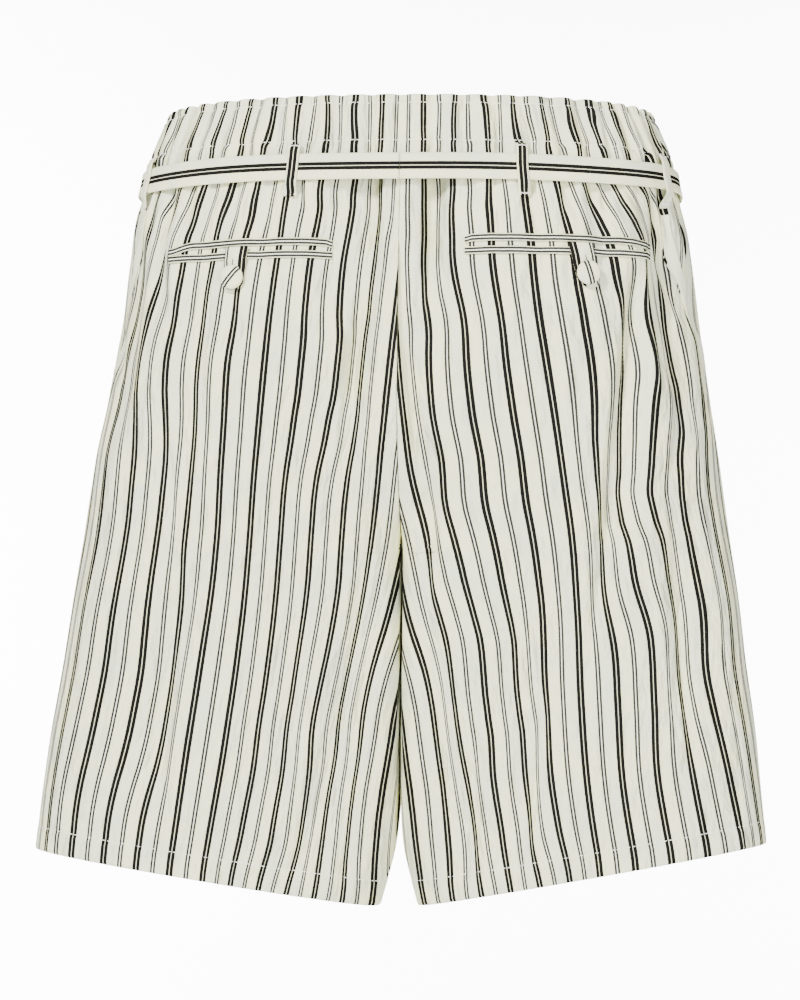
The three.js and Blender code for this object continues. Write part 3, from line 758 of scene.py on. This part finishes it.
def add_loop(side, word, kind, middle, centre):
    over = BELT["clear"] + BELT["wall"] + AIR
    ends = form(side, np.array([middle - 0.005, middle + 0.005]), LOOP["top"])
    width = LOOP["width"] * 0.01 / np.linalg.norm(ends[1] - ends[0])
    edge = BELT["width"] / 2 + 1

    def point(u, level, off):
        near = 1 - ease(edge, edge + 2 * LOOP["rise"], np.abs(level - BELT["level"]) + 0 * u)
        lying = cloth(side, middle + u * width, level, 3 * LOOP["seat"] + off)
        lifted = crest(side, middle + u * width, level, over + off)
        return mix(lying, lifted, near[..., None])

    name = "belt_loop_" + kind + "_" + word
    across = np.array([-0.5, -0.47, -0.4, -0.25, 0, 0.25, 0.4, 0.47, 0.5])
    for level in (LOOP["top"] - TACK["in"], LOOP["bottom"] + TACK["in"]):
        ends = point(np.array([-0.52, 0.52]), np.array([level, level]), LOOP["wall"])
        tacks.append((ends[0], ends[1], normal(side, middle, level)))
    spread = 0 if kind == "side" else 1
    return strip("cloth_" + name, "belt_cloth", [name], point, across,
                 even_rows(LOOP["top"], LOOP["bottom"], 60), 0, centre, side > 0, LOOP["wall"],
                 spread)


def add_welt(row, which, top):
    side = row["side"]
    name = "pocket_" + row["word"] + "_welt_" + which
    reach = row["outer"] - row["inner"]

    def point(u, x, off):
        share = (x - row["inner"]) / reach
        bow = 0.5 * np.sin(math.pi * share)
        if which == "upper":
            bow = bow - row["droop"] * ease(0.84, 1, share) - ease(0.04, 0, share)
        level = top - WELT["height"] * (0.5 - u) + bow - 0.5
        return cloth(side, place_at("back", x, level), level, off)

    across = np.array([-0.5, -0.46, -0.4, -0.2, 0, 0.2, 0.4, 0.46, 0.5])
    piece = strip("cloth_" + name, "pocket_cloth", [name], point, across,
                  np.linspace(row["inner"], row["outer"], 150), WELT["clear"], 0.5, side > 0,
                  WELT["wall"])
    return piece


def tab_middle(row, level):
    top = row["pocketTop"] - TAB["drop"]
    return mix(row["tab"], row["button"], (top - level) / BUTTON["drop"])


def add_tab(row, centre):
    side = row["side"]
    lower_end = row["pocketTop"] - 2 * WELT["height"] - WELT["slot"]
    top = row["pocketTop"] - TAB["drop"]
    bottom = top - TAB["length"]
    half = TAB["width"] / 2
    name = "pocket_" + row["word"] + "_tab"
    over = WELT["clear"] + WELT["wall"] + AIR

    def point(u, level, off):
        reach = half * np.sqrt(1 - np.clip((bottom + half - level) / half, 0, 0.995) ** 2)
        place = place_at("back", tab_middle(row, level) + u * reach, level)
        rise = mix(WELT["clear"], over, ease(lower_end - 6, lower_end, level))
        return cloth(side, place, level, rise + off)

    across = np.array([-1, -0.96, -0.9, -0.75, -0.5, -0.25, 0, 0.25, 0.5, 0.75, 0.9, 0.96, 1])
    rows = np.concatenate([even_rows(top, bottom + half, 40), bottom + half * np.cos(
        np.linspace(0, math.pi / 2, 24))[1:] * 0.999 + 0.001])
    rows = np.array(sorted(set(np.round(rows, 4)), reverse=True))
    high = top - BUTTON["drop"] + BUTTON["diameter"] / 2
    slit = np.array([high + BUTTONHOLE["rise"], high + BUTTONHOLE["rise"] - BUTTONHOLE["length"]])
    ends = point(np.array([0.12, 0.16]), slit, TAB["wall"] + 0.1)
    buttonholes.append((ends[0], ends[1], normal(side, place_at("back", row["tab"], high), high)))
    return strip("cloth_" + name, "pocket_cloth", [name], point, across, rows, 0, centre,
                 side > 0, TAB["wall"])


def add_button(row, turn):
    """A cloth-covered dome with one thin pair of lines across it."""
    side = row["side"]
    level = row["pocketTop"] - TAB["drop"] - BUTTON["drop"]
    t = place_at("back", row["button"], level)
    centre = cloth(side, t, level, WELT["clear"] + TAB["wall"] + 0.85)
    out = normal(side, t, level)
    right = np.cross([0, 0, 1], -out)
    right = -right / np.linalg.norm(right)
    up = np.cross(right, out)
    up = up if up[2] > 0 else -up
    radius = BUTTON["diameter"] / 2
    rings = 14
    segments = 48
    profile = [(0.9, 0), (0.98, 0.16), (1, 0.36)]
    for i in range(1, rings):
        angle = i / rings * math.pi / 2
        profile.append((math.cos(angle) ** 0.7, 0.36 + 0.64 * math.sin(angle)))
    points, places, faces = [], [], []
    for share, height in profile:
        for j in range(segments):
            around = 2 * math.pi * j / segments
            a, b = share * radius * math.cos(around), share * radius * math.sin(around)
            points.append(centre + right * a + up * b + out * height * BUTTON["height"])
            lined = a * math.cos(turn) + b * math.sin(turn)
            places.append((0.5 + lined / PERIOD, b * math.cos(turn) - a * math.sin(turn)))
    points.append(centre)
    places.append((0.5, 0))
    points.append(centre + out * BUTTON["height"])
    places.append((0.5, 0))
    for i in range(len(profile) - 1):
        for j in range(segments):
            k = (j + 1) % segments
            faces.append((i * segments + j, i * segments + k, (i + 1) * segments + k,
                          (i + 1) * segments + j))
    last = (len(profile) - 1) * segments
    for j in range(segments):
        k = (j + 1) % segments
        faces.append((k, j, len(points) - 2))
        faces.append((last + j, last + k, len(points) - 1))
    name = "pocket_" + row["word"] + "_button"
    piece = make_object("cloth_" + name, np.array(points), faces, np.array(places), trim_cloth)
    return keep(piece, "button_cloth", name)


def add_side_pocket(side, word):
    def point(u, level, off):
        edge = section_at(level)["seam"] + 3 * SEAM
        settle = 0.7 * ease(SIDE_POCKET["bottom"] + 16, SIDE_POCKET["bottom"], level)
        return cloth(side, edge + u * SIDE_POCKET["share"], level, off - settle)

    name = "side_pocket_" + word
    return strip("cloth_" + name, "shorts_cloth", [name], point, np.linspace(0, 1, 12),
                 even_rows(SIDE_POCKET["top"], SIDE_POCKET["bottom"], 120),
                 0.2, 0.25, side < 0, 0.9, 0)


def add_belt_end(side, word):
    top = BELT["level"] - KNOT["height"] / 2 - AIR

    def point(u, level, off):
        middle = BELT_END["start"] + BELT_END["spread"] * (top - level) / BELT_END["length"]
        x = np.maximum(middle + u * BELT_END["width"] / 2, AIR)
        under = mix(BELT_END["clear"], BELT["clear"] + BELT["wall"], ease(top - 14, top, level))
        return cloth(side, place_at("front", x, level), level, under + off)

    name = "belt_end_" + word
    across = np.array([-1, -0.96, -0.9, -0.6, -0.3, 0, 0.3, 0.6, 0.9, 0.96, 1])
    return strip("cloth_" + name, "belt_cloth", [name], point, across,
                 even_rows(top, top - BELT_END["length"], 90), 0, 0, side < 0, BELT_END["wall"])


def add_knot():
    """A pulled knot: a lump with the turns of the belt wrapped over it."""
    low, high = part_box("belt_knot")
    centre = np.array((low + high) / 2) / MM
    half = np.array(high - low) / 2 / MM
    rows, columns = 60, 90
    points, places, faces = [], [], []
    for i in range(rows + 1):
        polar = math.pi * i / rows
        for j in range(columns):
            around = 2 * math.pi * j / columns
            ray = np.array([
                math.sin(polar) * math.cos(around),
                math.sin(polar) * math.sin(around),
                math.cos(polar),
            ])
            turn = ray[0] * 2.2 + ray[2] * 1.4
            crease = 0.9 - 0.07 * (0.5 + 0.5 * math.cos(turn * 2.6)) ** 3
            points.append(centre + ray * half * crease * 1.06)
            places.append((turn * 0.33, ray[2] * half[2]))
    for i in range(rows):
        for j in range(columns):
            k = (j + 1) % columns
            faces.append((i * columns + j, (i + 1) * columns + j, (i + 1) * columns + k,
                          i * columns + k))
    piece = make_object("cloth_belt_knot", np.array(points), faces, np.array(places), trim_cloth)
    return keep(piece, "belt_cloth", "belt_knot")


# Stitches


def stitch_box(a, b, out, thick):
    """The corners of one stitch from a to b, a slim box that is thinner at its ends."""
    run = b - a
    aside = np.cross(run, out)
    aside = aside / np.linalg.norm(aside) * thick / 2
    rise = out * thick / 2
    corners = []
    for share, size in ((0, 0.45), (0.25, 1), (0.75, 1), (1, 0.45)):
        spot = a + run * share
        for x, y in ((-1, -1), (1, -1), (1, 1), (-1, 1)):
            corners.append(spot + (aside * x + rise * y) * size)
    return corners


def add_boxes(name, slot, boxes, material, thick):
    """One piece of stitches, each given by its two ends and the direction outwards."""
    points, faces = [], []
    for start, end, out in boxes:
        base = len(points)
        points.extend(stitch_box(start, end, out / np.linalg.norm(out), thick))
        for ring in range(3):
            for side in range(4):
                a, b = base + ring * 4 + side, base + ring * 4 + (side + 1) % 4
                faces.append((a, b, b + 4, a + 4))
        faces.append((base + 3, base + 2, base + 1, base))
        faces.append((base + 12, base + 13, base + 14, base + 15))
    places = np.zeros((len(points), 2))
    return keep(make_object(name, np.array(points), faces, places, material, False), slot)


def add_stitches(name, slot, lines, material):
    """One piece of all the stitches along lines. A line is (points, directions outwards)."""
    boxes = []
    for path, outs in lines:
        steps = np.linalg.norm(np.diff(path, axis=0), axis=1)
        run = np.concatenate([[0], np.cumsum(steps)])
        pitch = STITCH["length"] + STITCH["gap"]
        for start in np.arange(STITCH["gap"], run[-1] - STITCH["length"], pitch):
            ends = [
                np.array([np.interp(at, run, path[:, k]) for k in range(3)])
                for at in (start, start + STITCH["length"])
            ]
            out = np.array([np.interp(start, run, outs[:, k]) for k in range(3)])
            boxes.append((ends[0], ends[1], out))
    return add_boxes(name, slot, boxes, material, STITCH["thick"])


def ring_line(side, level, off):
    """A line of cloth points round one half at a level, behind and in front."""
    t = np.concatenate([np.linspace(0, 0.499, 500), np.linspace(0.501, 1, 500)])
    return cloth(side, t, level, off), normal(side, t, level)


def add_all_stitches():
    lift = STITCH["thick"] * 0.25
    hems = [ring_line(side, HEM_STITCHES, lift + 0.12) for side in (-1, 1)]
    add_stitches("stitches_hem", "shorts_cloth", hems, pale_thread)
    bands = [ring_line(side, level, lift) for side in (-1, 1) for level in BAND_STITCHES]
    add_stitches("stitches_waistband", "shorts_cloth", bands, pale_thread)
    bars = []
    for start, end, out in tacks:
        aside = np.cross(end - start, out)
        aside = aside / np.linalg.norm(aside) * TACK["apart"]
        for row in range(TACK["rows"]):
            shift = aside * (row - (TACK["rows"] - 1) / 2)
            bars.append((start + shift, end + shift, out))
    add_boxes("tacks_loops", "belt_cloth", bars, pale_thread, STITCH["thick"])
    add_boxes("buttonholes", "pocket_cloth", buttonholes, dark_thread, BUTTONHOLE["thick"])


# Build everything

for table_row in SIDES:
    hand, half_word = table_row["side"], table_row["word"]
    add_panel(hand, "back", half_word)
    add_panel(hand, "front", half_word)
    add_belt(hand, half_word)
    first_top = table_row["pocketTop"]
    add_welt(table_row, "upper", first_top)
    add_welt(table_row, "lower", first_top - WELT["height"] - WELT["slot"])
    add_side_pocket(hand, half_word)
    add_belt_end(hand, half_word)
    loop_back = float(place_at("back", table_row["loop"], BELT["level"]))
    loop_side = float(section_at(BELT["level"])["seam"])
    loop_front = float(place_at("front", FRONT_LOOP, BELT["level"]))
    add_loop(hand, half_word, "back", loop_back, 0)
    add_loop(hand, half_word, "side", loop_side, 0.26)
    add_loop(hand, half_word, "front", loop_front, 0)
add_tab(SIDES[0], 0.22)
add_tab(SIDES[1], 0.23)
add_button(SIDES[0], math.radians(-40))
add_button(SIDES[1], math.radians(16))
add_waistband("back")
add_waistband("front")
add_knot()
add_all_stitches()


# Room, lights and camera


def add_stage():
    white = bpy.data.materials.new("stage_white")
    white.use_nodes = True
    shader = white.node_tree.nodes["Principled BSDF"]
    shader.inputs["Base Color"].default_value = (0.9, 0.9, 0.9, 1)
    shader.inputs["Roughness"].default_value = 0.9
    bpy.ops.mesh.primitive_plane_add(size=14, location=(0, 0, -1.1))
    floor = bpy.context.object
    floor.name = "floor"
    floor.data.materials.append(white)
    bpy.ops.mesh.primitive_plane_add(
        size=14, location=(0, 4, 3), rotation=(math.pi / 2, 0, 0))
    wall = bpy.context.object
    wall.name = "backdrop"
    wall.data.materials.append(white)


def add_light(name, place, aim, size, power):
    data = bpy.data.lights.new(name, "AREA")
    data.shape = "RECTANGLE"
    data.size, data.size_y = size
    data.energy = power
    lamp = bpy.data.objects.new(name, data)
    lamp.location = place
    direction = np.array(aim) - np.array(place)
    yaw = math.atan2(direction[0], -direction[1])
    pitch = math.atan2(-direction[2], math.hypot(direction[0], direction[1]))
    lamp.rotation_euler = (math.pi / 2 - pitch, 0, math.pi + yaw)
    bpy.context.scene.collection.objects.link(lamp)


CAMERA = {"target": (-0.0065, 0, -0.229), "distance": 3.2, "yaw": 4.5, "lens": 177.2}


def add_camera():
    data = bpy.data.cameras.new("camera")
    data.lens = CAMERA["lens"]
    data.clip_end = 50
    camera = bpy.data.objects.new("camera", data)
    yaw = math.radians(CAMERA["yaw"])
    x, y, z = CAMERA["target"]
    camera.location = (x + CAMERA["distance"] * math.sin(yaw), y - CAMERA["distance"] * math.cos(yaw), z)
    camera.rotation_euler = (math.pi / 2, 0, yaw)
    bpy.context.scene.collection.objects.link(camera)
    bpy.context.scene.camera = camera


def add_world():
    world = bpy.data.worlds.new("studio")
    world.use_nodes = True
    background = world.node_tree.nodes["Background"]
    background.inputs["Color"].default_value = (1, 1, 1, 1)
    background.inputs["Strength"].default_value = 0.4
    bpy.context.scene.world = world


add_stage()
add_world()
add_light("key", (-1.3, -2.8, 1.6), (0, 0, -0.25), (0.7, 0.7), 270)
add_light("fill", (1.5, -2.8, 0.1), (0, 0, -0.25), (1.2, 1.2), 105)
add_light("wall_light_left", (-1.6, 2.7, -0.2), (0, 4, -0.2), (1.5, 2), 420)
add_light("wall_light_right", (1.6, 2.7, -0.2), (0, 4, -0.2), (1.5, 2), 420)
add_camera()
